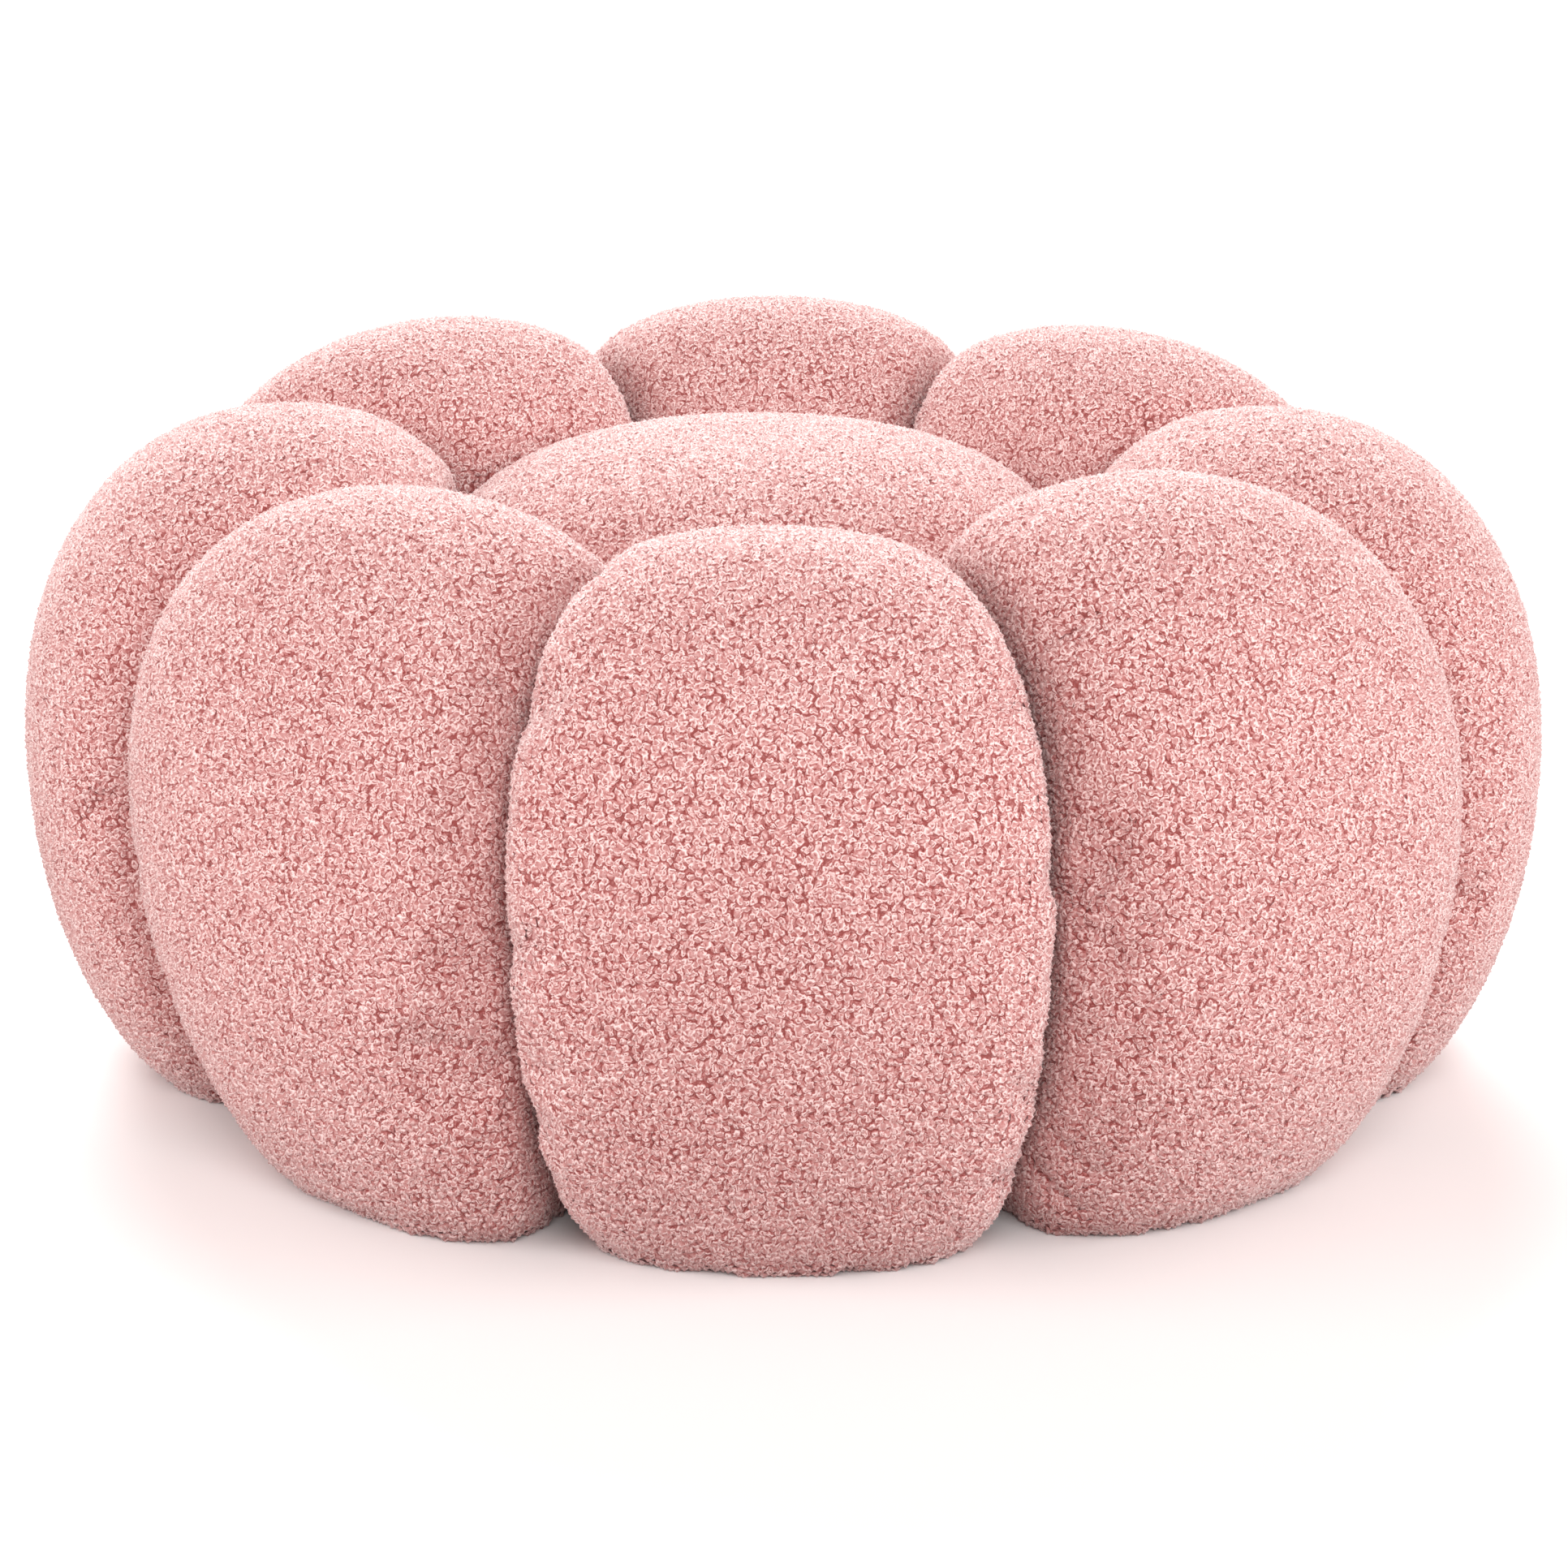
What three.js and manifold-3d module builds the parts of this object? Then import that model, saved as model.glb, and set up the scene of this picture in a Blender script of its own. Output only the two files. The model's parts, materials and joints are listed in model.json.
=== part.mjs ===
import * as THREE from "three";
import { mergeVertices } from "three/addons/utils/BufferGeometryUtils.js";
import Module from "manifold-3d";

// Boucle pouf in millimetres, +Z up. Eight stuffed lobes stand in a ring round one deep, round seat
// cushion. All nine stand flat on the floor, and the origin is at floor level under the middle.

// A lobe in its upright section through the pouf's middle
const RING_RADIUS = 257; // from the middle of the pouf to the line of the lobes' crests
const INNER_DEPTH = 125; // from that line in towards the seat, before the seat presses it back
const UNDERSIDE_DEPTH = 228; // from the belly down, before the floor flattens it

// How square a lobe's outlines are, as an exponent: 2 is an ellipse, and more is squarer
const UPPER_SQUARENESS = 2.23;
const LOWER_SQUARENESS = 2.01;
const LOWER_SIDE_SQUARENESS = 2.22; // below the belly a lobe is squarer from side to side
const LEVEL_SQUARENESS = 2.3;

const FLARE = 0.11; // a lobe widens outwards as this power of the distance from the pouf's middle
const PRESS_SHARPNESS = 12; // how abruptly a lobe's rounded side turns flat against its neighbour

// Seat cushion: a drum with a domed crown
const SEAT_RADIUS = 177;
const SEAT_HEIGHT = 343;
const CROWN_DEPTH = 112; // how far the crown falls from its middle to the drum's side
const CROWN_SQUARENESS = 2.77;
const SEAT_LOWER_ROUNDING = 25;
const SEAT_SHIFT_X = -12; // the cushion sits a little off the ring's middle

const GAP = 0.3; // clearance between pressed faces

// Fineness of the facets
const LOBE_SECTORS = 32;
const LOBE_RINGS = 16;
const SEAT_SECTORS = 48;
const CROWN_STEPS = 9;
const ROUNDING_STEPS = 3;

const MERGE_WITHIN = 1e-4; // vertices nearer than this are one

const BOUCLE_PINK = 0xe3b0ad;

// One row for each lobe, anticlockwise from +X, as uneven as hand-filled lobes are.
// azimuth: degrees; reach: from the pouf's middle to the lobe's outermost point; halfWidth: half the
// width at the crest line that it would have alone; belly: height of its fullest part; crest: height
// of its top; lean: degrees that it leans round the ring.
const LOBES = [
  { name: "lobe_right", azimuth: 1.9, reach: 406, halfWidth: 171, belly: 178, crest: 351, lean: 0.9 },
  { name: "lobe_back_right", azimuth: 46.8, reach: 400, halfWidth: 169, belly: 187, crest: 364, lean: 0.8 },
  { name: "lobe_back", azimuth: 90.3, reach: 400, halfWidth: 174, belly: 192, crest: 370, lean: 0.5 },
  { name: "lobe_back_left", azimuth: 135.8, reach: 400, halfWidth: 169, belly: 189, crest: 371, lean: 0.5 },
  { name: "lobe_left", azimuth: 180, reach: 400, halfWidth: 168, belly: 186, crest: 356, lean: 1.3 },
  { name: "lobe_front_left", azimuth: 228.4, reach: 382, halfWidth: 164, belly: 181, crest: 350, lean: -5.9 },
  { name: "lobe_front", azimuth: 269.8, reach: 399, halfWidth: 172, belly: 188, crest: 347, lean: -1.3 },
  { name: "lobe_front_right", azimuth: 313.1, reach: 399, halfWidth: 172, belly: 184, crest: 359, lean: -0.4 },
];

const wasm = await Module();
wasm.setup();

// The closed solid that a geometry bounds, for cutting.
function toSolid(geometry) {
  const bare = geometry.clone();
  bare.deleteAttribute("normal");
  bare.deleteAttribute("uv");
  const merged = mergeVertices(bare, MERGE_WITHIN);
  const mesh = new wasm.Mesh({
    numProp: 3,
    vertProperties: new Float32Array(merged.attributes.position.array),
    triVerts: new Uint32Array(merged.index.array),
  });
  return new wasm.Manifold(mesh);
}

function toGeometry(solid) {
  const mesh = solid.getMesh();
  const geometry = new THREE.BufferGeometry();
  geometry.setAttribute("position", new THREE.BufferAttribute(mesh.vertProperties, 3));
  geometry.setIndex(new THREE.BufferAttribute(mesh.triVerts, 1));
  const flat = geometry.toNonIndexed();
  flat.computeVertexNormals();
  return flat;
}

// The sine or cosine of an angle, drawn out or in so that a circle becomes a squarer outline.
function squared(value, squareness) {
  return Math.sign(value) * Math.abs(value) ** (2 / squareness);
}

// A distance that a flat face holds back: it stays as it is while it is small, and never passes limit.
function pressed(distance, limit) {
  return distance / (1 + Math.abs(distance / limit) ** PRESS_SHARPNESS) ** (1 / PRESS_SHARPNESS);
}

// The angle in radians from one lobe round to another, anticlockwise.
function angleRound(from, to) {
  return THREE.MathUtils.degToRad(THREE.MathUtils.euclideanModulo(to.azimuth - from.azimuth, 360));
}

// A filled lobe: a sphere drawn out to the lobe's own depths, heights and width, and pressed flat by
// its two neighbours. The upright planes between them go through the pouf's middle, toNext and
// toPrevious radians to either side. Local X points out from the middle, and the floor is not cut yet.
function filledLobe({ reach, halfWidth, belly, crest, lean }, toNext, toPrevious) {
  const geometry = new THREE.SphereGeometry(1, LOBE_SECTORS, LOBE_RINGS);
  geometry.rotateX(Math.PI / 2);
  const position = geometry.attributes.position;
  const slope = Math.tan(THREE.MathUtils.degToRad(lean));
  for (let i = 0; i < position.count; i++) {
    const rise = position.getZ(i);
    const upright = rise > 0 ? UPPER_SQUARENESS : LOWER_SQUARENESS;
    const sideways = rise > 0 ? UPPER_SQUARENESS : LOWER_SIDE_SQUARENESS;
    const radius = Math.hypot(position.getX(i), position.getY(i));
    const turn = Math.atan2(position.getY(i), position.getX(i));
    const out = squared(radius, upright) * squared(Math.cos(turn), LEVEL_SQUARENESS);
    const side = squared(radius, sideways) * squared(Math.sin(turn), LEVEL_SQUARENESS);
    const distance = RING_RADIUS + out * (out > 0 ? reach - RING_RADIUS : INNER_DEPTH);
    const width = halfWidth * (distance / RING_RADIUS) ** FLARE;
    const height = squared(rise, upright) * (rise > 0 ? crest - belly : UNDERSIDE_DEPTH);
    const alone = side * width + slope * height;
    const angle = alone > 0 ? toNext : toPrevious;
    const limit = distance * Math.tan(angle) - GAP / 2 / Math.cos(angle);
    position.setXYZ(i, distance, pressed(alone, limit), belly + height);
  }
  return geometry;
}

// Everything under the floor, within the pouf's reach.
function underfloor() {
  const span = 4 * RING_RADIUS;
  const geometry = new THREE.BoxGeometry(span, span, span);
  geometry.translate(0, 0, -span / 2);
  return geometry;
}

// The seat cushion, or with grow above 0 the room that it takes between the lobes.
function seat(grow) {
  const radius = SEAT_RADIUS + grow;
  const shoulder = SEAT_HEIGHT - CROWN_DEPTH;
  const profile = [new THREE.Vector2(0, 0)];
  for (let i = 0; i <= ROUNDING_STEPS; i++) {
    const angle = (i / ROUNDING_STEPS) * (Math.PI / 2);
    const inward = SEAT_LOWER_ROUNDING * (1 - Math.sin(angle));
    profile.push(new THREE.Vector2(radius - inward, SEAT_LOWER_ROUNDING * (1 - Math.cos(angle))));
  }
  for (let i = 0; i < CROWN_STEPS; i++) {
    const angle = (i / CROWN_STEPS) * (Math.PI / 2);
    const out = squared(Math.cos(angle), CROWN_SQUARENESS);
    const up = squared(Math.sin(angle), CROWN_SQUARENESS);
    profile.push(new THREE.Vector2(radius * out, shoulder + (CROWN_DEPTH + grow) * up));
  }
  profile.push(new THREE.Vector2(0, SEAT_HEIGHT + grow));
  const geometry = new THREE.LatheGeometry(profile, SEAT_SECTORS);
  geometry.rotateX(Math.PI / 2);
  geometry.translate(SEAT_SHIFT_X, 0, 0);
  return geometry;
}

function boucle() {
  return new THREE.MeshStandardMaterial({ color: BOUCLE_PINK, roughness: 0.95, metalness: 0 });
}

function piece(name, geometry) {
  const mesh = new THREE.Mesh(geometry, boucle());
  mesh.name = name;
  return mesh;
}

const pouf = new THREE.Group();
pouf.add(piece("seat_cushion", seat(0)));

const cutAway = toSolid(seat(GAP)).add(toSolid(underfloor()));
LOBES.forEach((lobe, i) => {
  const toNext = angleRound(lobe, LOBES[(i + 1) % LOBES.length]) / 2;
  const toPrevious = angleRound(LOBES.at(i - 1), lobe) / 2;
  const filled = filledLobe(lobe, toNext, toPrevious);
  filled.rotateZ(THREE.MathUtils.degToRad(lobe.azimuth));
  pouf.add(piece(lobe.name, toGeometry(toSolid(filled).subtract(cutAway))));
});

// The pieces stand centred on the origin.
const box = new THREE.Box3().setFromObject(pouf);
const middle = box.getCenter(new THREE.Vector3());
pouf.position.set(-middle.x, -middle.y, -box.min.z);

export default pouf;
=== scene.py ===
import json
import math

import bmesh
import bpy
import numpy as np
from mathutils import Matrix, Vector
from mathutils.bvhtree import BVHTree

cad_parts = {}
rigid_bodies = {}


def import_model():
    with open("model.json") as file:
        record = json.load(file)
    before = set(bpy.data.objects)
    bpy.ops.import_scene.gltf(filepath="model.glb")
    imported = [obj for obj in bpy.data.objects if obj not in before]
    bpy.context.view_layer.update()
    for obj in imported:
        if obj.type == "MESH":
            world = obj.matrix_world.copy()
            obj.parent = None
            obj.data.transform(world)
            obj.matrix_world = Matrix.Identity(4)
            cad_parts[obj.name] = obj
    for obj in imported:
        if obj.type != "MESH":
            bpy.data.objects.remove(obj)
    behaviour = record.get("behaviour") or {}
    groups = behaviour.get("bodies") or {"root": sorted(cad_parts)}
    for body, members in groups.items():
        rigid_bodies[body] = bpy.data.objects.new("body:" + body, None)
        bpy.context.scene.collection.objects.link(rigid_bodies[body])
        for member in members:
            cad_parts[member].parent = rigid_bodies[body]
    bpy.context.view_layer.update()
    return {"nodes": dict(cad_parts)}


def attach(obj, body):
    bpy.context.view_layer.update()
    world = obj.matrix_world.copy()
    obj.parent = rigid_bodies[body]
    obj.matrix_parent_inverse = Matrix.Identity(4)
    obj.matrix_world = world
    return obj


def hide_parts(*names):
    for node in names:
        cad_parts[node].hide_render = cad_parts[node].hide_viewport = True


# Looks of the boucle pouf: eight stuffed lobes in a ring round a domed seat, each in its own cover.
# A cover is blown up by a cloth simulation inside its CAD solid, laid flat where it meets a neighbour
# or the floor, and planted all over with small yarn curls wherever it can be seen.

bl_info = {
    "name": "Boucle Pouf",
    "version": (1, 0, 0),
    "blender": (4, 5, 0),
    "location": "View3D > Sidebar > Pouf",
    "description": "Fills the covers of a lobed floor pouf and covers them in boucle curls",
    "category": "Add Mesh",
}

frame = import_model()

SEAT_NODE = "seat_cushion"
LOBE_NODES = sorted(name for name in frame["nodes"] if name.startswith("lobe_"))
ROOT = "root"
COVER_PREFIX = "cover_"
CURLS_PREFIX = "curls_"

MERGE_WITHIN = 1e-5  # corners nearer than this are one
FACING = 0.5  # cosine of the angle from a face's normal within which the face meets a neighbour
SHOWN = "shown"  # point attribute of a cover: 1 where its cloth is open to view, 0 where it is pressed
VARIANT = "variant"  # which of the yarn drawings a curl wears
CURL_MAP = "OFBake"  # the curls' own UV map: a square table of drawings, one in each tile
TILES = 4  # drawings along each side of that table
DRAWING_RADIUS = 0.48  # of a curl's drawing, where its tile's side is 1

# Camera of the picture that the pouf is matched to, and the picture's size in pixels
PICTURE_SIZE = 1932
FOCAL_PIXELS = 5741.0
SENSOR_MM = 36.0


def in_mm(value):
    return value / 1000


class PoufCoverSettings(bpy.types.PropertyGroup):
    """How the covers are cut and filled."""

    cloth_cell: bpy.props.FloatProperty(
        name="Cloth Cell",
        description="Size of the cloth's mesh cells",
        default=in_mm(8.0),
        min=in_mm(4.0),
        subtype="DISTANCE",
        unit="LENGTH",
    )
    slack: bpy.props.FloatProperty(
        name="Slack",
        description="How far inside the full shape a cover starts before it is filled",
        default=in_mm(8.0),
        min=0.0,
        subtype="DISTANCE",
        unit="LENGTH",
    )
    pile: bpy.props.FloatProperty(
        name="Pile",
        description="Depth of the curls on the cloth, which stays inside the full shape",
        default=in_mm(2.2),
        min=0.0,
        subtype="DISTANCE",
        unit="LENGTH",
    )
    pressure: bpy.props.FloatProperty(
        name="Filling Pressure",
        description="Pressure of the filling on the cloth",
        default=4.0,
        min=0.0,
    )
    ease: bpy.props.FloatProperty(
        name="Ease",
        description="How much larger the limp cover is cut, as a share of its size",
        default=0.06,
        min=0.0,
        subtype="FACTOR",
    )
    steps: bpy.props.IntProperty(
        name="Filling Steps",
        description="Frames over which a cover fills",
        default=20,
        min=2,
    )
    fullness: bpy.props.FloatProperty(
        name="Fullness",
        description="How tightly a cover is stuffed",
        default=0.85,
        min=0.0,
        max=1.0,
        subtype="FACTOR",
    )
    clearance: bpy.props.FloatProperty(
        name="Clearance",
        description="What a pressed cover keeps from the face of its solid",
        default=in_mm(0.15),
        min=0.0,
        subtype="DISTANCE",
        unit="LENGTH",
    )
    touch_gap: bpy.props.FloatProperty(
        name="Touching Gap",
        description="Nearer than this to a neighbour, the cloth is pressed flat and bears no curls",
        default=in_mm(0.35),
        min=0.0,
        subtype="DISTANCE",
        unit="LENGTH",
    )
    open_gap: bpy.props.FloatProperty(
        name="Open Gap",
        description="Further than this from a neighbour, the cloth is open and bears all its curls",
        default=in_mm(0.9),
        min=0.0,
        subtype="DISTANCE",
        unit="LENGTH",
    )


class PoufCurlSettings(bpy.types.PropertyGroup):
    """The yarn curls and their colours."""

    radius: bpy.props.FloatProperty(
        name="Curl Radius",
        description="Radius of one curl at its foot",
        default=in_mm(3.2),
        min=in_mm(1.0),
        subtype="DISTANCE",
        unit="LENGTH",
    )
    height: bpy.props.FloatProperty(
        name="Curl Height",
        description="Height of one curl above the cloth",
        default=in_mm(2.15),
        min=in_mm(0.2),
        subtype="DISTANCE",
        unit="LENGTH",
    )
    spacing: bpy.props.FloatProperty(
        name="Curl Spacing",
        description="Least distance between the middles of two curls",
        default=in_mm(2.8),
        min=in_mm(2.0),
        subtype="DISTANCE",
        unit="LENGTH",
    )
    tilt: bpy.props.FloatProperty(
        name="Curl Tilt",
        description="Most that a curl leans from the cloth's normal",
        default=0.18,
        min=0.0,
        subtype="ANGLE",
        unit="ROTATION",
    )
    # Painted shade: the darkest colour, laid in the creases between the curls where shade falls.
    crease_shade_color: bpy.props.FloatVectorProperty(
        name="Crease",
        description="Colour of the yarn deep between the curls",
        default=(0.255, 0.04, 0.037),
        min=0.0,
        max=1.0,
        subtype="COLOR",
    )
    shade_color: bpy.props.FloatVectorProperty(
        name="Shade",
        description="Colour of a curl's shaded flank",
        default=(0.49, 0.2, 0.19),
        min=0.0,
        max=1.0,
        subtype="COLOR",
    )
    yarn_color: bpy.props.FloatVectorProperty(
        name="Yarn",
        description="Colour of a curl's body",
        default=(0.662, 0.4, 0.386),
        min=0.0,
        max=1.0,
        subtype="COLOR",
    )
    # Painted highlight: the lighter colour that the raised strands take where light falls on them.
    light_color: bpy.props.FloatVectorProperty(
        name="Light Yarn",
        description="Colour of the yarn that stands highest",
        default=(0.78, 0.57, 0.552),
        min=0.0,
        max=1.0,
        subtype="COLOR",
    )
    # Painted highlight: the glint along the crests of the brightest strands.
    glint_color: bpy.props.FloatVectorProperty(
        name="Glint",
        description="Colour of the shiniest strands",
        default=(0.98, 0.8, 0.78),
        min=0.0,
        max=1.0,
        subtype="COLOR",
    )
    # The backing's own colour, made darker than the yarn as painted shade, since it shows in the creases
    # between the curls and in the pressed grooves.
    backing_shade_color: bpy.props.FloatVectorProperty(
        name="Backing",
        description="Colour of the cloth under the curls",
        default=(0.38, 0.125, 0.118),
        min=0.0,
        max=1.0,
        subtype="COLOR",
    )


class PoufStageSettings(bpy.types.PropertyGroup):
    """Floor, camera and studio light."""

    floor_color: bpy.props.FloatVectorProperty(
        name="Floor",
        description="Colour of the plain floor",
        default=(0.95, 1.0, 1.0),
        min=0.0,
        max=1.0,
        subtype="COLOR",
    )
    floor_bounce: bpy.props.FloatVectorProperty(
        name="Floor Bounce",
        description="Colour of the light that the floor throws back at the pouf",
        default=(0.66, 0.58, 0.57),
        min=0.0,
        max=1.0,
        subtype="COLOR",
    )
    fill_color: bpy.props.FloatVectorProperty(
        name="Fill",
        description="Colour of the even light from all round",
        default=(1.0, 0.79, 0.76),
        min=0.0,
        max=1.0,
        subtype="COLOR",
    )
    fill_strength: bpy.props.FloatProperty(
        name="Fill Strength",
        description="Strength of the even light from all round",
        default=0.64,
        min=0.0,
    )
    backdrop_strength: bpy.props.FloatProperty(
        name="Backdrop Strength",
        description="How bright the backdrop looks beyond the floor",
        default=1.0,
        min=0.0,
    )
    front_strength: bpy.props.FloatProperty(
        name="Front Strength",
        description="Strength of the light that comes from high in front",
        default=1.5,
        min=0.0,
    )
    back_strength: bpy.props.FloatProperty(
        name="Back Strength",
        description="Strength of the light that comes from high behind",
        default=3.1,
        min=0.0,
    )
    left_strength: bpy.props.FloatProperty(
        name="Left Strength",
        description="Strength of the light that comes from low on the left",
        default=1.4,
        min=0.0,
    )
    right_strength: bpy.props.FloatProperty(
        name="Right Strength",
        description="Strength of the light that comes from low on the right",
        default=1.5,
        min=0.0,
    )
    light_spread: bpy.props.FloatProperty(
        name="Light Spread",
        description="Angle that each light fills, as seen from the pouf",
        default=math.radians(36),
        min=0.0,
        subtype="ANGLE",
        unit="ROTATION",
    )
    camera_elevation: bpy.props.FloatProperty(
        name="Camera Elevation",
        description="Angle at which the camera looks down",
        default=0.2728,
        subtype="ANGLE",
        unit="ROTATION",
    )
    camera_distance: bpy.props.FloatProperty(
        name="Camera Distance",
        description="From the camera to the point it looks at",
        default=2.5,
        min=0.1,
        subtype="DISTANCE",
        unit="LENGTH",
    )
    camera_aim: bpy.props.FloatVectorProperty(
        name="Camera Aim",
        description="Point that the camera looks at",
        default=(-0.00006, -0.0005, 0.15028),
        subtype="XYZ",
        unit="LENGTH",
    )


def fail(message):
    raise RuntimeError(message)


def deselect_all():
    bpy.ops.object.select_all(action="DESELECT")


def make_active(piece):
    deselect_all()
    bpy.context.view_layer.objects.active = piece
    piece.select_set(True)


def apply_modifiers(piece):
    make_active(piece)
    for modifier in list(piece.modifiers):
        bpy.ops.object.modifier_apply(modifier=modifier.name)


def positions(mesh):
    flat = np.empty(len(mesh.vertices) * 3, np.float32)
    mesh.vertices.foreach_get("co", flat)
    return flat.reshape(-1, 3).astype(float)


def set_positions(mesh, points):
    mesh.vertices.foreach_set("co", points.astype(np.float32).ravel())
    mesh.update()


def smooth_step(value, low, high):
    t = np.clip((value - low) / (high - low), 0, 1)
    return t * t * (3 - 2 * t)


def merged_copy(node_name, piece_name):
    """A CAD node's mesh, its triangles sewn together along their edges, as an object of its own."""
    piece = bpy.data.objects.new(piece_name, frame["nodes"][node_name].data.copy())
    piece.data.name = piece_name
    bpy.context.scene.collection.objects.link(piece)
    sewn = bmesh.new()
    sewn.from_mesh(piece.data)
    bmesh.ops.remove_doubles(sewn, verts=sewn.verts, dist=MERGE_WITHIN)
    sewn.to_mesh(piece.data)
    sewn.free()
    return piece


def cad_tree(node_name):
    """The CAD solid of a node, for asking how near a point lies to its face."""
    mesh = frame["nodes"][node_name].data
    corners = [vertex.co.copy() for vertex in mesh.vertices]
    return BVHTree.FromPolygons(corners, [tuple(face.vertices) for face in mesh.polygons])


def remesh(piece, cell):
    grid = piece.modifiers.new("Cloth grid", "REMESH")
    grid.mode = "VOXEL"
    grid.voxel_size = cell
    grid.use_smooth_shade = True
    relax = piece.modifiers.new("Relax", "SMOOTH")
    relax.iterations = 4
    relax.factor = 0.5
    apply_modifiers(piece)


def shrink(piece, depth):
    inset = piece.modifiers.new("Slack", "DISPLACE")
    inset.strength = -depth
    inset.mid_level = 0
    apply_modifiers(piece)


def cut_cover(node_name, settings):
    """The limp cover: the node's shape, drawn in by the slack and meshed evenly."""
    piece = merged_copy(node_name, COVER_PREFIX + node_name)
    remesh(piece, settings.cloth_cell)
    shrink(piece, settings.slack)
    remesh(piece, settings.cloth_cell)
    return piece


def fill_covers(pieces, settings):
    """Blows the limp covers up, and keeps every point within the slack that it was given."""
    scene = bpy.context.scene
    starts = {piece.name: positions(piece.data) for piece in pieces}
    for piece in pieces:
        cloth = piece.modifiers.new("Filling", "CLOTH")
        cloth.settings.quality = 5
        cloth.settings.use_pressure = True
        cloth.settings.uniform_pressure_force = settings.pressure
        cloth.settings.effector_weights.gravity = 0
        cloth.settings.shrink_min = -settings.ease
        cloth.point_cache.frame_start = 1
        cloth.point_cache.frame_end = settings.steps
    for step in range(1, settings.steps + 1):
        scene.frame_set(step)
    for piece in pieces:
        apply_modifiers(piece)
    scene.frame_set(1)
    for piece in pieces:
        filled = positions(piece.data)
        if not np.isfinite(filled).all():
            fail(piece.name + " came apart while it was filled")
        moved = filled - starts[piece.name]
        length = np.linalg.norm(moved, axis=1, keepdims=True)
        most = max(settings.slack - settings.pile, 0)
        next_to_nothing = 1e-9
        moved *= np.minimum(1, most / np.maximum(length, next_to_nothing))
        set_positions(piece.data, starts[piece.name] + moved)


def evened(values, edges, rounds):
    """Values at a mesh's points, averaged round by round with those one edge away."""
    for _ in range(rounds):
        total, count = values.copy(), np.ones(len(values))
        for end in (0, 1):
            np.add.at(total, edges[:, end], values[edges[:, 1 - end]])
            np.add.at(count, edges[:, end], 1)
        values = total / count
    return values


def lay_against_neighbours(piece, node_name, trees, settings):
    """Presses a filled cover flat where a neighbour or the floor holds it, and marks what stays open."""
    points = positions(piece.data)
    edges = np.array([edge.vertices[:] for edge in piece.data.edges])
    beside = np.ones(len(points))
    above_floor = np.ones(len(points))
    push = np.zeros_like(points)
    grounded = np.zeros(len(points), bool)
    others = [tree for name, tree in trees.items() if name != node_name]
    for i, point in enumerate(points):
        face, normal, _, _ = trees[node_name].find_nearest(Vector(point))
        gap = settings.open_gap
        for tree in others:
            found, _, _, distance = tree.find_nearest(face, settings.open_gap)
            if found is not None and (found - face).dot(normal) > FACING * distance:
                gap = min(gap, distance)
        beside[i] = smooth_step(gap, settings.touch_gap, settings.open_gap)
        rest_depth = settings.clearance
        if normal.z < -FACING and face.z < settings.open_gap:
            above_floor[i] = smooth_step(face.z, settings.touch_gap, settings.open_gap)
            rest_depth = 0
            grounded[i] = True
        depth = (face - Vector(point)).dot(normal)
        push[i] = np.array(normal) * (depth - rest_depth)
    # The edge of the open cloth runs evenly, whatever the cloth's corners happened to meet
    even_rounds, closed_below, open_above = 3, 0.2, 0.6
    beside = smooth_step(evened(beside, edges, even_rounds), closed_below, open_above)
    shown = np.minimum(beside, above_floor).astype(np.float32)
    points += push * (1 - shown)[:, None]
    points[:, 2] = np.maximum(points[:, 2], 0)
    set_positions(piece.data, points)

    # At the foot's edge the curls go on a little way underneath
    edge_open = shown[edges].max(axis=1)
    for end in (0, 1):
        tucked = grounded[edges[:, end]]
        np.maximum.at(shown, edges[tucked, end], edge_open[tucked])
    mark = piece.data.attributes.new(SHOWN, "FLOAT", "POINT")
    mark.data.foreach_set("value", shown)


def make_covers(node_names, settings):
    pieces = [cut_cover(name, settings) for name in node_names]
    fill_covers(pieces, settings)
    trees = {name: cad_tree(name) for name in frame["nodes"]}
    backing = backing_material(bpy.context.scene.pouf_curls)
    for name, piece in zip(node_names, pieces):
        lay_against_neighbours(piece, name, trees, settings)
        piece.data.materials.clear()
        piece.data.materials.append(backing)
        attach(piece, ROOT)
        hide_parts(name)


def feed(tree, socket, value):
    """Links or sets a node's input; None leaves it as it is."""
    if isinstance(value, bpy.types.NodeSocket):
        tree.links.new(value, socket)
    elif value is not None:
        socket.default_value = value


def feed_in_order(tree, node, values):
    for socket, value in zip(node.inputs, values):
        feed(tree, socket, value)


def math_node(tree, operation, *values):
    node = tree.nodes.new("ShaderNodeMath")
    node.operation = operation
    feed_in_order(tree, node, values)
    return node.outputs[0]


def vector_node(tree, operation, *values):
    node = tree.nodes.new("ShaderNodeVectorMath")
    node.operation = operation
    if operation == "SCALE":
        vector, factor = values
        values = (vector, None, None, factor)
    feed_in_order(tree, node, values)
    measured = operation in ("LENGTH", "DOT_PRODUCT")
    return node.outputs["Value" if measured else "Vector"]


def fade(tree, value, start, end, low=0.0, high=1.0):
    """A smooth passage from low to high while the value goes from start to end."""
    node = tree.nodes.new("ShaderNodeMapRange")
    node.interpolation_type = "SMOOTHSTEP"
    feed_in_order(tree, node, (value, start, end, low, high))
    return node.outputs[0]


def combine(tree, x, y, z=0.0):
    node = tree.nodes.new("ShaderNodeCombineXYZ")
    feed_in_order(tree, node, (x, y, z))
    return node.outputs[0]


def separate(tree, vector):
    node = tree.nodes.new("ShaderNodeSeparateXYZ")
    feed_in_order(tree, node, (vector,))
    return node.outputs


def noise(tree, vector, scale, detail, dimensions="3D"):
    node = tree.nodes.new("ShaderNodeTexNoise")
    node.noise_dimensions = dimensions
    for name, value in (("Vector", vector), ("Scale", scale), ("Detail", detail)):
        feed(tree, node.inputs[name], value)
    return node


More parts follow.
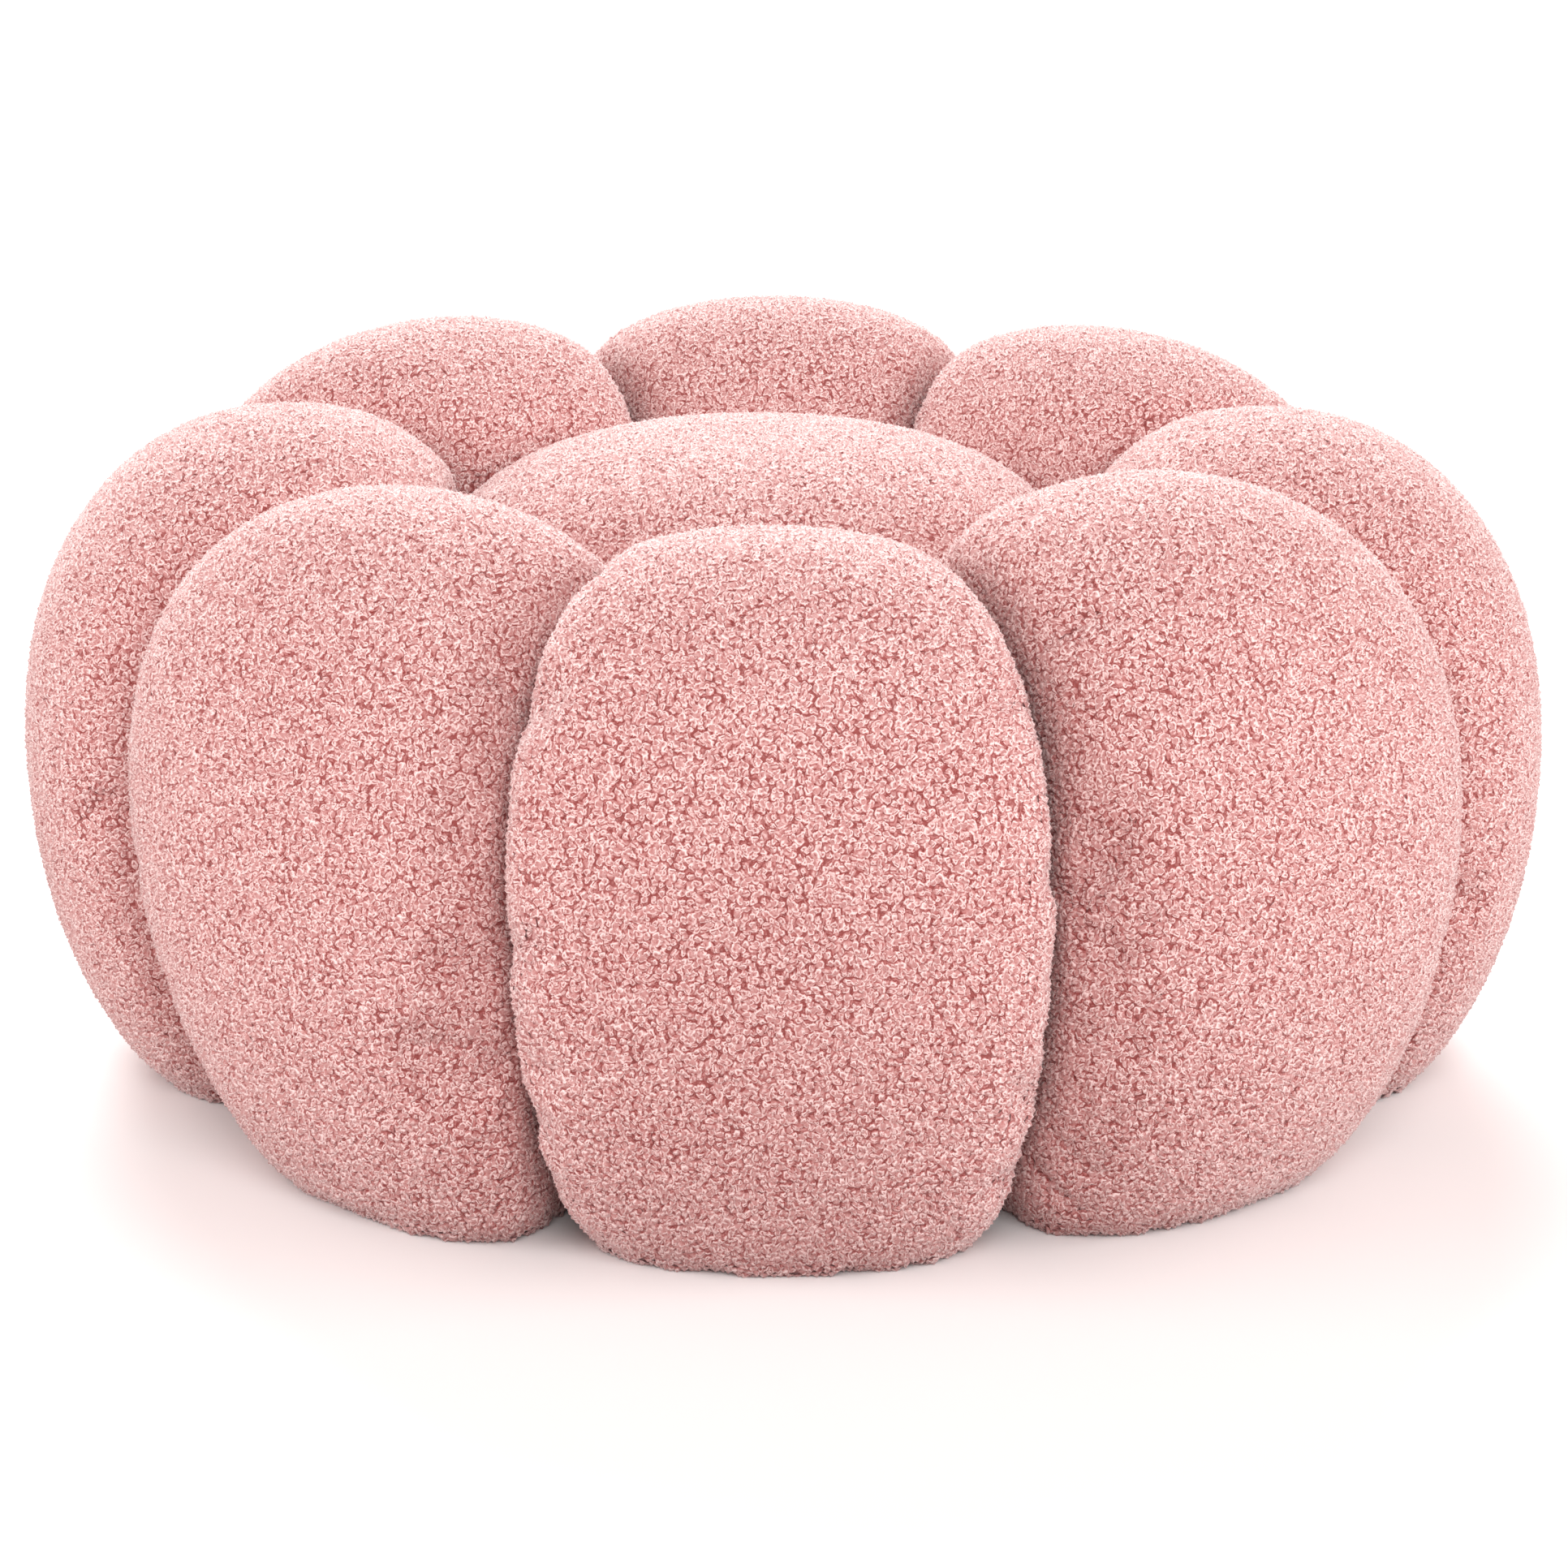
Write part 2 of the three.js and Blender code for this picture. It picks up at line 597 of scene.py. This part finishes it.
def color_steps(tree, value, steps):
    """A colour for each level of the value, blended in between."""
    node = tree.nodes.new("ShaderNodeValToRGB")
    tree.links.new(value, node.inputs[0])
    elements = node.color_ramp.elements
    elements[0].position, elements[1].position = steps[0][0], steps[-1][0]
    elements[0].color, elements[1].color = (*steps[0][1], 1), (*steps[-1][1], 1)
    for position, color in steps[1:-1]:
        elements.new(position).color = (*color, 1)
    return node.outputs[0]


def add_up(tree, total, parts):
    """A start value, plus each part times its share."""
    for value, share in parts:
        total = math_node(tree, "MULTIPLY_ADD", value, share, total)
    return total


def new_group(name, inputs, outputs):
    """An empty node group; inputs are (name, socket type) and outputs are names of values."""
    group = bpy.data.node_groups.new(name, "ShaderNodeTree")
    for label, kind in inputs:
        group.interface.new_socket(name=label, in_out="INPUT", socket_type=kind)
    for label in outputs:
        group.interface.new_socket(name=label, in_out="OUTPUT", socket_type="NodeSocketFloat")
    return group, group.nodes.new("NodeGroupInput").outputs, group.nodes.new("NodeGroupOutput").inputs


def use_group(tree, group, **values):
    node = tree.nodes.new("ShaderNodeGroup")
    node.node_tree = group
    for label, value in values.items():
        feed(tree, node.inputs[label], value)
    return node.outputs


def strand_group():
    """A strand of yarn bent in a C: its round body, the glint on its crest and the shade beside it."""
    name = "Yarn strand"
    if name in bpy.data.node_groups:
        return bpy.data.node_groups[name]
    group, given, result = new_group(
        name,
        (
            ("Place", "NodeSocketVector"),
            ("Middle", "NodeSocketVector"),
            ("Radius", "NodeSocketFloat"),
            ("Width", "NodeSocketFloat"),
            ("Facing", "NodeSocketVector"),
            ("Opening", "NodeSocketFloat"),
        ),
        ("Body", "Glint", "Shade"),
    )
    away = vector_node(group, "SUBTRACT", given["Place"], given["Middle"])
    off = math_node(group, "SUBTRACT", vector_node(group, "LENGTH", away), given["Radius"])
    # In half widths of the strand: 0 on its crest, and -1 and 1 where it ends
    across = math_node(group, "DIVIDE", off, given["Width"])
    beside = math_node(group, "ABSOLUTE", across)
    along = vector_node(group, "DOT_PRODUCT", vector_node(group, "NORMALIZE", away), given["Facing"])
    present = fade(group, math_node(group, "SUBTRACT", along, given["Opening"]), -0.3, 0.3)
    hollow = fade(group, across, -1.9, -0.8, 1.0, 0.0)
    rising, dying = fade(group, across, 0.8, 1.15), fade(group, across, 1.15, 2.3, 0.8, 0.0)
    outer = math_node(group, "MULTIPLY", rising, dying)
    for output, value in (
        ("Body", fade(group, beside, 0.0, 1.1, 1.0, 0.0)),
        ("Glint", fade(group, beside, 0.0, 0.65, 1.0, 0.0)),
        ("Shade", math_node(group, "MAXIMUM", hollow, outer)),
    ):
        group.links.new(math_node(group, "MULTIPLY", value, present), result[output])
    return group


def fuzz_group():
    """Loose fibres: a fine uneven roughness of the yarn, between -0.5 and 0.5 at full strength."""
    name = "Yarn fuzz"
    if name in bpy.data.node_groups:
        return bpy.data.node_groups[name]
    group, given, result = new_group(
        name,
        (("Place", "NodeSocketVector"), ("Scale", "NodeSocketFloat"), ("Strength", "NodeSocketFloat")),
        ("Fuzz",),
    )
    fibres = noise(group, given["Place"], given["Scale"], 2.0)
    centred = math_node(group, "SUBTRACT", fibres.outputs["Fac"], 0.5)
    group.links.new(math_node(group, "MULTIPLY", centred, given["Strength"]), result["Fuzz"])
    return group


def wear_group():
    """Slow unevenness of the dye and of the nap over a hand's breadth, round 0."""
    name = "Dye and nap"
    if name in bpy.data.node_groups:
        return bpy.data.node_groups[name]
    group, given, result = new_group(
        name,
        (("Place", "NodeSocketVector"), ("Strength", "NodeSocketFloat")),
        ("Tone",),
    )
    broad_per_metre, patches_per_metre, patchy_share = 9.0, 34.0, 0.6
    broad = noise(group, given["Place"], broad_per_metre, 1.0)
    patchy = noise(group, given["Place"], patches_per_metre, 1.0)
    mixed = math_node(group, "MULTIPLY_ADD", patchy.outputs["Fac"], patchy_share, broad.outputs["Fac"])
    centred = math_node(group, "SUBTRACT", mixed, 0.5 * (1 + patchy_share))
    group.links.new(math_node(group, "MULTIPLY", centred, given["Strength"]), result["Tone"])
    return group


def cloth_shader(material, sheen):
    """The plain values of the boucle cloth, set on the shader itself."""
    shader = material.node_tree.nodes["Principled BSDF"]
    shader.inputs["Roughness"].default_value = 0.9
    shader.inputs["Specular IOR Level"].default_value = 0.15
    shader.inputs["Sheen Weight"].default_value = sheen
    shader.inputs["Sheen Roughness"].default_value = 0.5
    shader.inputs["Sheen Tint"].default_value = (1.0, 0.92, 0.915, 1.0)
    return shader


def raise_surface(tree, shader, height, distance):
    bump = tree.nodes.new("ShaderNodeBump")
    bump.inputs["Distance"].default_value = distance
    tree.links.new(height, bump.inputs["Height"])
    tree.links.new(bump.outputs["Normal"], shader.inputs["Normal"])


def curl_material(settings):
    """Each curl is a small tuft drawn with three bent strands, in one of sixteen drawings."""
    material = bpy.data.materials.new("boucle curls")
    material.use_nodes = True
    tree = material.node_tree
    shader = cloth_shader(material, sheen=0.6)
    uv = tree.nodes.new("ShaderNodeUVMap")
    uv.uv_map = CURL_MAP
    tiled = vector_node(tree, "SCALE", uv.outputs["UV"], float(TILES))
    tile = vector_node(tree, "FLOOR", tiled)
    in_tile = vector_node(tree, "SUBTRACT", vector_node(tree, "SUBTRACT", tiled, tile), (0.5, 0.5, 0.0))
    local = vector_node(tree, "SCALE", in_tile, 1 / DRAWING_RADIUS)

    # Six lots for each drawing, three from each throw
    lots = []
    for offset in (0.0, 17.3):
        dice = tree.nodes.new("ShaderNodeTexWhiteNoise")
        dice.noise_dimensions = "2D"
        tree.links.new(vector_node(tree, "ADD", tile, (offset, offset, 0.0)), dice.inputs["Vector"])
        lots.extend(separate(tree, dice.outputs["Color"]))

    # The strands wander a little from their arcs
    bend = noise(tree, tiled, 2.0, 1.0, "2D")
    bend_by = vector_node(tree, "SUBTRACT", bend.outputs["Color"], (0.5, 0.5, 0.5))
    most_bend = 0.8
    bent = vector_node(tree, "ADD", local, vector_node(tree, "SCALE", bend_by, most_bend))
    place = vector_node(tree, "MULTIPLY", bent, (1.0, 1.0, 0.0))

    def facing(angle):
        return combine(tree, math_node(tree, "COSINE", angle), math_node(tree, "SINE", angle))

    # The ways that the three strands face, in radians
    turn_one = math_node(tree, "MULTIPLY", lots[1], 2 * math.pi)
    turn_two = math_node(tree, "MULTIPLY_ADD", lots[2], 3.0, turn_one)
    turn_three = math_node(tree, "MULTIPLY_ADD", lots[5], 4.0, turn_two)
    one, two, three = facing(turn_one), facing(turn_two), facing(turn_three)

    def strand(lot, least, spread, way, off, aim, opening, width):
        """A strand on an arc whose middle lies off along the way, open where it faces away from aim."""
        return use_group(
            tree,
            strand_group(),
            Place=place,
            Middle=vector_node(tree, "SCALE", way, off),
            Radius=math_node(tree, "MULTIPLY_ADD", lot, spread, least),
            Width=width,
            Facing=aim,
            Opening=opening,
        )

    main = strand(lots[0], 0.24, 0.16, way=two, off=-0.1, aim=one, opening=-0.35, width=0.22)
    second = strand(lots[3], 0.2, 0.12, way=one, off=-0.4, aim=two, opening=-0.2, width=0.185)
    third = strand(lots[2], 0.2, 0.12, way=three, off=0.46, aim=one, opening=-0.1, width=0.185)
    faintest = 0.45
    strength = fade(tree, lots[5], 0.1, 0.5, faintest, 1.0)

    def strongest(output, second_share, third_share):
        first = math_node(tree, "MULTIPLY", main[output], strength)
        rest = math_node(
            tree,
            "MAXIMUM",
            math_node(tree, "MULTIPLY", second[output], second_share),
            math_node(tree, "MULTIPLY", third[output], third_share),
        )
        return math_node(tree, "MAXIMUM", first, rest)

    body = strongest("Body", second_share=0.85, third_share=0.75)
    glint = strongest("Glint", second_share=0.8, third_share=0.6)
    beside = strongest("Shade", second_share=0.9, third_share=0.8)
    clear_of_body = math_node(tree, "SUBTRACT", 1.0, body)
    shade = math_node(tree, "MULTIPLY", beside, clear_of_body)
    # Painted shade: each tuft darkens towards its edge, where it dips among its neighbours.
    flank = fade(tree, vector_node(tree, "LENGTH", place), 0.5, 1.0)
    fuzz = use_group(tree, fuzz_group(), Place=tiled, Scale=6.5, Strength=1.0)["Fuzz"]
    coordinates = tree.nodes.new("ShaderNodeTexCoord")
    tone = use_group(tree, wear_group(), Place=coordinates.outputs["Object"], Strength=0.05)["Tone"]

    # How light the yarn is: its plain level, and how far each thing lightens or darkens it. Body, glint,
    # flank and shade are painted light and shade on the curls; fuzz, lots and tone are the yarn's own
    # uneven colour.
    plain_level = 0.355
    lit_and_shaded = ((body, 0.29), (glint, 0.42), (flank, -0.16), (shade, -0.43))
    uneven = ((fuzz, 0.6), (lots[4], 0.04), (tone, 1.0))
    level = add_up(tree, plain_level, lit_and_shaded + uneven)
    colors = (
        (0.0, settings.crease_shade_color),
        (0.25, settings.shade_color),
        (0.5, settings.yarn_color),
        (0.75, settings.light_color),
        (1.0, settings.glint_color),
    )
    tree.links.new(color_steps(tree, level, colors), shader.inputs["Base Color"])
    height = add_up(tree, body, ((shade, -0.3), (fuzz, 0.6)))
    raise_surface(tree, shader, height, in_mm(0.15))
    return material


def backing_material(settings):
    """The knitted cloth that the curls stand on, bare only where a cover is pressed or stood on."""
    name = "boucle backing"
    if name in bpy.data.materials:
        return bpy.data.materials[name]
    material = bpy.data.materials.new(name)
    material.use_nodes = True
    tree = material.node_tree
    shader = cloth_shader(material, sheen=0.4)
    coordinates = tree.nodes.new("ShaderNodeTexCoord")
    place = coordinates.outputs["Object"]
    stitches_per_metre, fibres_per_metre = 420.0, 900.0
    knit = tree.nodes.new("ShaderNodeTexVoronoi")
    knit.inputs["Scale"].default_value = stitches_per_metre
    tree.links.new(place, knit.inputs["Vector"])
    stitch = fade(tree, knit.outputs["Distance"], 0.1, 0.6, 1.0, 0.0)
    fuzz = use_group(tree, fuzz_group(), Place=place, Scale=fibres_per_metre, Strength=0.5)["Fuzz"]
    tone = use_group(tree, wear_group(), Place=place, Strength=0.2)["Tone"]
    plain_level = 0.3
    level = add_up(tree, plain_level, ((stitch, 0.5), (fuzz, 1.0), (tone, 1.0)))
    # Painted shade: the bare backing runs from the crease shade up to the curls' shade colour, all
    # darker than the yarn.
    colors = (
        (0.0, settings.crease_shade_color),
        (0.6, settings.backing_shade_color),
        (1.0, settings.shade_color),
    )
    tree.links.new(color_steps(tree, level, colors), shader.inputs["Base Color"])
    raise_surface(tree, shader, math_node(tree, "ADD", stitch, fuzz), in_mm(0.5))
    return material


def show_and_cast(tree, seen, cast, output):
    """Shows the camera one shader, and lights the pouf with the other."""
    ray = tree.nodes.new("ShaderNodeLightPath")
    mixed = tree.nodes.new("ShaderNodeMixShader")
    feed_in_order(tree, mixed, (ray.outputs["Is Camera Ray"], cast.outputs[0], seen.outputs[0]))
    tree.links.new(mixed.outputs[0], tree.nodes[output].inputs["Surface"])


def floor_paint(settings):
    """Matt paint that looks white but throws back less light, so the pouf darkens towards its foot."""
    paint = bpy.data.materials.new("floor")
    paint.use_nodes = True
    tree = paint.node_tree
    tree.nodes.remove(tree.nodes["Principled BSDF"])
    seen, cast = tree.nodes.new("ShaderNodeBsdfDiffuse"), tree.nodes.new("ShaderNodeBsdfDiffuse")
    seen.inputs["Color"].default_value = (*settings.floor_color, 1)
    cast.inputs["Color"].default_value = (*settings.floor_bounce, 1)
    show_and_cast(tree, seen, cast, "Material Output")
    return paint


def studio_backdrop(settings):
    """An even backdrop that looks white and sheds a weaker, warmer light."""
    sky = bpy.data.worlds.new("studio")
    sky.use_nodes = True
    tree = sky.node_tree
    cast, seen = tree.nodes["Background"], tree.nodes.new("ShaderNodeBackground")
    cast.inputs["Color"].default_value = (*settings.fill_color, 1)
    cast.inputs["Strength"].default_value = settings.fill_strength
    seen.inputs["Color"].default_value = (1, 1, 1, 1)
    seen.inputs["Strength"].default_value = settings.backdrop_strength
    show_and_cast(tree, seen, cast, "World Output")
    return sky


def hang_light(name, place, strength, spread):
    """A broad, even light that shines on everything alike, from the side that its place lies on."""
    bpy.ops.object.light_add(type="SUN", location=place)
    light = bpy.context.object
    light.name = light.data.name = name
    light.rotation_euler = Vector(place).to_track_quat("Z", "Y").to_euler()
    light.data.angle = spread
    light.data.energy = strength


def model_curl(settings):
    """One tuft: a low four-sided cone with a leaning tip, mapped from above."""
    deselect_all()
    bpy.ops.mesh.primitive_cone_add(
        vertices=4,
        radius1=settings.radius,
        radius2=0,
        depth=settings.height,
        location=(0, 0, settings.height / 2),
    )
    tuft = bpy.context.object
    tuft.name = tuft.data.name = "curl"
    bpy.ops.object.transform_apply(location=True, rotation=True, scale=True)
    bpy.ops.object.mode_set(mode="EDIT")
    bpy.ops.mesh.select_all(action="DESELECT")
    shape = bmesh.from_edit_mesh(tuft.data)
    for vertex in shape.verts:
        vertex.select_set(vertex.co.z > settings.height / 2)
    shape.select_flush(True)
    bmesh.update_edit_mesh(tuft.data)
    lean = 0.12 * settings.radius
    bpy.ops.transform.translate(value=(lean, 0, 0))
    bpy.ops.object.mode_set(mode="OBJECT")

    # Round above, with a crisp edge round the foot
    tuft.data.shade_smooth()
    foot = in_mm(0.01)
    for edge in tuft.data.edges:
        if all(tuft.data.vertices[i].co.z < foot for i in edge.vertices):
            edge.use_edge_sharp = True
    while tuft.data.uv_layers:
        tuft.data.uv_layers.remove(tuft.data.uv_layers[0])
    drawing = tuft.data.uv_layers.new(name=CURL_MAP)
    for loop in tuft.data.loops:
        spot = tuft.data.vertices[loop.vertex_index].co / settings.radius * DRAWING_RADIUS
        drawing.data[loop.index].uv = (0.5 + spot.x, 0.5 + spot.y)
    tuft.hide_render = True
    tuft.hide_viewport = True
    return tuft


def random_value(tree, kind, low, high, seed):
    node = tree.nodes.new("FunctionNodeRandomValue")
    node.data_type = kind
    enabled = [socket for socket in node.inputs if socket.enabled]
    for socket in enabled:
        if socket.name == "Min":
            socket.default_value = low
        elif socket.name == "Max":
            socket.default_value = high
        elif socket.name == "Seed":
            socket.default_value = seed
    return next(socket for socket in node.outputs if socket.enabled)


def named_attribute(tree, name, kind):
    node = tree.nodes.new("GeometryNodeInputNamedAttribute")
    node.data_type = kind
    node.inputs["Name"].default_value = name
    return next(socket for socket in node.outputs if socket.enabled and socket.name == "Attribute")


def store_attribute(tree, geometry, name, kind, domain, value):
    node = tree.nodes.new("GeometryNodeStoreNamedAttribute")
    node.data_type = kind
    node.domain = domain
    node.inputs["Name"].default_value = name
    tree.links.new(geometry, node.inputs["Geometry"])
    target = next(s for s in node.inputs if s.enabled and s.name == "Value")
    tree.links.new(value, target)
    return node.outputs["Geometry"]


def planting_group(tuft, material, settings, seed):
    """Plants the curl all over the open cloth, and gives each its own turn, size and drawing."""
    tree = bpy.data.node_groups.new("Plant curls", "GeometryNodeTree")
    tree.interface.new_socket(name="Cloth", in_out="INPUT", socket_type="NodeSocketGeometry")
    tree.interface.new_socket(name="Curls", in_out="OUTPUT", socket_type="NodeSocketGeometry")
    given = tree.nodes.new("NodeGroupInput").outputs
    result = tree.nodes.new("NodeGroupOutput").inputs
    spots = tree.nodes.new("GeometryNodeDistributePointsOnFaces")
    spots.distribute_method = "POISSON"
    spots.inputs["Distance Min"].default_value = settings.spacing
    tries_per_spot = 20
    spots.inputs["Density Max"].default_value = tries_per_spot / settings.spacing**2
    spots.inputs["Seed"].default_value = seed
    tree.links.new(named_attribute(tree, SHOWN, "FLOAT"), spots.inputs["Density Factor"])
    tree.links.new(given["Cloth"], spots.inputs["Mesh"])

    model = tree.nodes.new("GeometryNodeObjectInfo")
    model.inputs["Object"].default_value = tuft
    planted = tree.nodes.new("GeometryNodeInstanceOnPoints")
    tree.links.new(spots.outputs["Points"], planted.inputs["Points"])
    tree.links.new(spots.outputs["Rotation"], planted.inputs["Rotation"])
    tree.links.new(model.outputs["Geometry"], planted.inputs["Instance"])
    smallest, largest = (0.75, 0.75, 0.8), (1.3, 1.3, 1.25)
    size = random_value(tree, "FLOAT_VECTOR", smallest, largest, seed + 1)
    tree.links.new(size, planted.inputs["Scale"])
    turned = tree.nodes.new("GeometryNodeRotateInstances")
    least, most = (-settings.tilt, -settings.tilt, -math.pi), (settings.tilt, settings.tilt, math.pi)
    tree.links.new(planted.outputs["Instances"], turned.inputs["Instances"])
    tree.links.new(random_value(tree, "FLOAT_VECTOR", least, most, seed + 2), turned.inputs["Rotation"])
    lifted = tree.nodes.new("GeometryNodeTranslateInstances")
    deepest = in_mm(-0.4)
    lift = random_value(tree, "FLOAT", deepest, 0.0, seed + 3)
    tree.links.new(turned.outputs["Instances"], lifted.inputs["Instances"])
    tree.links.new(combine(tree, None, None, lift), lifted.inputs["Translation"])
    drawing = random_value(tree, "INT", 0, TILES * TILES - 1, seed + 4)
    chosen = store_attribute(tree, lifted.outputs["Instances"], VARIANT, "FLOAT", "INSTANCE", drawing)
    joined = tree.nodes.new("GeometryNodeRealizeInstances")
    tree.links.new(chosen, joined.inputs["Geometry"])

    number = named_attribute(tree, VARIANT, "FLOAT")
    column = math_node(tree, "MODULO", number, float(TILES))
    row = math_node(tree, "FLOOR", math_node(tree, "DIVIDE", number, float(TILES)))
    moved = vector_node(
        tree, "ADD", named_attribute(tree, CURL_MAP, "FLOAT_VECTOR"), combine(tree, column, row)
    )
    in_table = vector_node(tree, "SCALE", moved, 1 / TILES)
    mapped = store_attribute(tree, joined.outputs["Geometry"], CURL_MAP, "FLOAT2", "CORNER", in_table)
    dyed = tree.nodes.new("GeometryNodeSetMaterial")
    dyed.inputs["Material"].default_value = material
    tree.links.new(mapped, dyed.inputs["Geometry"])
    tree.links.new(dyed.outputs["Geometry"], result["Curls"])
    return tree


def plant_curls(cover, tuft, material, settings, seed):
    name = CURLS_PREFIX + cover.name[len(COVER_PREFIX) :]
    curls = bpy.data.objects.new(name, cover.data.copy())
    curls.data.name = name
    bpy.context.scene.collection.objects.link(curls)
    planting = curls.modifiers.new("Curls", "NODES")
    planting.node_group = planting_group(tuft, material, settings, seed)
    apply_modifiers(curls)
    if not curls.data.polygons:
        fail(name + " grew no curls")
    curls.data.materials.clear()
    curls.data.materials.append(material)
    for spare in (SHOWN, VARIANT):
        if spare in curls.data.attributes:
            curls.data.attributes.remove(curls.data.attributes[spare])
    points = positions(curls.data)
    points[:, 2] = np.maximum(points[:, 2], 0)
    set_positions(curls.data, points)
    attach(curls, ROOT)


class POUF_OT_fill_lobes(bpy.types.Operator):
    """Cut and fill the covers of the eight lobes"""

    bl_idname = "pouf.fill_lobes"
    bl_label = "Fill Lobe Covers"
    bl_options = {"REGISTER", "UNDO"}

    def execute(self, context):
        make_covers(LOBE_NODES, context.scene.pouf_covers)
        return {"FINISHED"}


class POUF_OT_fill_seat(bpy.types.Operator):
    """Cut and fill the cover of the round seat cushion"""

    bl_idname = "pouf.fill_seat"
    bl_label = "Fill Seat Cover"
    bl_options = {"REGISTER", "UNDO"}

    def execute(self, context):
        make_covers([SEAT_NODE], context.scene.pouf_covers)
        return {"FINISHED"}


class POUF_OT_plant_curls(bpy.types.Operator):
    """Cover the open cloth of every cover with boucle curls"""

    bl_idname = "pouf.plant_curls"
    bl_label = "Plant Boucle Curls"
    bl_options = {"REGISTER", "UNDO"}

    def execute(self, context):
        settings = context.scene.pouf_curls
        covers = sorted(
            (o for o in context.scene.objects if o.name.startswith(COVER_PREFIX)), key=lambda o: o.name
        )
        if not covers:
            fail("fill the covers before planting the curls")
        material = curl_material(settings)
        tuft = model_curl(settings)
        seeds_each = 10
        for number, cover in enumerate(covers):
            plant_curls(cover, tuft, material, settings, seeds_each * number)
        bpy.data.objects.remove(tuft)
        return {"FINISHED"}


class POUF_OT_set_stage(bpy.types.Operator):
    """Lay the floor and set the camera and the studio light"""

    bl_idname = "pouf.set_stage"
    bl_label = "Set Stage"
    bl_options = {"REGISTER", "UNDO"}

    def execute(self, context):
        settings = context.scene.pouf_stage
        deselect_all()
        # A hair under the pouf's foot, so that the two flat faces don't flicker
        floor_width, floor_level = 40, in_mm(-0.2)
        bpy.ops.mesh.primitive_plane_add(size=floor_width, location=(0, 0, floor_level))
        floor = context.object
        floor.name = "floor"
        floor.data.materials.append(floor_paint(settings))

        down = settings.camera_elevation
        back = Vector((0, -math.cos(down), math.sin(down)))
        bpy.ops.object.camera_add(
            location=Vector(settings.camera_aim) + settings.camera_distance * back,
            rotation=(math.pi / 2 - down, 0, 0),
        )
        camera = context.object
        camera.data.sensor_width = SENSOR_MM
        camera.data.lens = SENSOR_MM * FOCAL_PIXELS / PICTURE_SIZE
        context.scene.camera = camera

        context.scene.world = studio_backdrop(settings)
        # Each light's place says only which side it shines from
        for name, place, strength in (
            ("front", (0.3, -2.1, 1.5), settings.front_strength),
            ("back", (-0.3, 2.1, 1.3), settings.back_strength),
            ("left", (-2.2, -0.4, 0.6), settings.left_strength),
            ("right", (2.2, -0.4, 0.65), settings.right_strength),
        ):
            hang_light(name + "_light", place, strength, settings.light_spread)
        context.scene.view_settings.view_transform = "Standard"
        deselect_all()
        return {"FINISHED"}


class POUF_PT_panel(bpy.types.Panel):
    """The steps of the pouf, in order"""

    bl_idname = "POUF_PT_panel"
    bl_label = "Boucle Pouf"
    bl_space_type = "VIEW_3D"
    bl_region_type = "UI"
    bl_category = "Pouf"

    def draw(self, context):
        sections = (
            ("Covers", context.scene.pouf_covers, (POUF_OT_fill_lobes, POUF_OT_fill_seat)),
            ("Curls", context.scene.pouf_curls, (POUF_OT_plant_curls,)),
            ("Stage", context.scene.pouf_stage, (POUF_OT_set_stage,)),
        )
        for title, settings, operators in sections:
            box = self.layout.box()
            box.label(text=title)
            for name in settings.__annotations__:
                box.prop(settings, name)
            for operator in operators:
                box.operator(operator.bl_idname)


CLASSES = (
    PoufCoverSettings,
    PoufCurlSettings,
    PoufStageSettings,
    POUF_OT_fill_lobes,
    POUF_OT_fill_seat,
    POUF_OT_plant_curls,
    POUF_OT_set_stage,
    POUF_PT_panel,
)


def register():
    for cls in CLASSES:
        bpy.utils.register_class(cls)
    bpy.types.Scene.pouf_covers = bpy.props.PointerProperty(type=PoufCoverSettings)
    bpy.types.Scene.pouf_curls = bpy.props.PointerProperty(type=PoufCurlSettings)
    bpy.types.Scene.pouf_stage = bpy.props.PointerProperty(type=PoufStageSettings)


def unregister():
    del bpy.types.Scene.pouf_stage
    del bpy.types.Scene.pouf_curls
    del bpy.types.Scene.pouf_covers
    for cls in reversed(CLASSES):
        bpy.utils.unregister_class(cls)


def main():
    register()
    bpy.ops.pouf.fill_lobes()
    bpy.ops.pouf.fill_seat()
    bpy.ops.pouf.plant_curls()
    bpy.ops.pouf.set_stage()
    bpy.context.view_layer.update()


if __name__ == "__main__":
    main()
